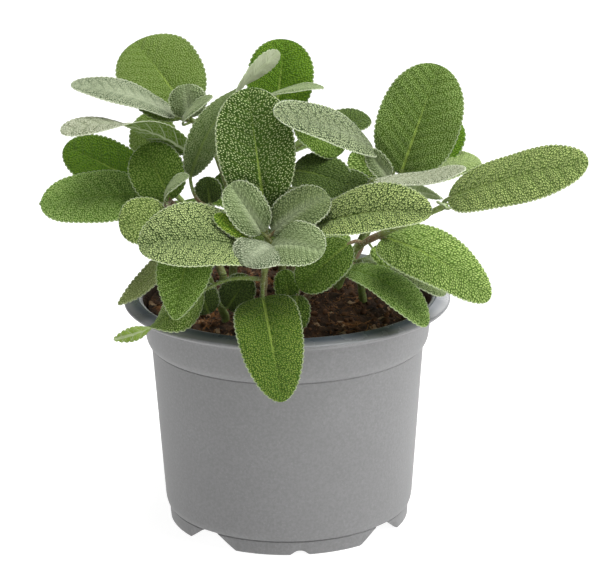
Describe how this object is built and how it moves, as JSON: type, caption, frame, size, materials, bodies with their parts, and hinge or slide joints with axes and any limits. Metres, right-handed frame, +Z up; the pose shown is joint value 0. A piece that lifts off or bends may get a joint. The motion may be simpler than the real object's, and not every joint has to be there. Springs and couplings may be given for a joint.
{
  "type": "potted sage",
  "caption": "Potted kitchen sage: leafy stems with crinkled, scalloped leaves in peat soil, in a grey moulded nursery pot with a flared rim and notched feet.",
  "frame": {"origin": "on the pot's axis in the plane that its feet stand on", "axes": "+Z up along the pot's axis, -Y to the front, where the low hanging leaf is, +X to the right, where the longest leaf reaches out"},
  "size_m": [0.215, 0.1907, 0.1964],
  "materials": {
    "pot": "matte grey polypropylene with a glossier slate-grey rim",
    "soil": "loose damp peat with fibres and crumbs",
    "foliage": "soft grey-green leaves with fine pale hairs"
  },
  "bodies": {
    "root": {"pot": "pot", "soil": "soil", "stem_front": "foliage", "stem_front_low": "foliage", "stem_left_front": "foliage", "stem_left": "foliage", "stem_left_tall": "foliage", "stem_centre": "foliage", "stem_right_tall": "foliage", "stem_right": "foliage", "stem_right_low": "foliage", "stem_back_left": "foliage", "stem_back": "foliage", "stem_back_right": "foliage"}
  },
  "joints": []
}
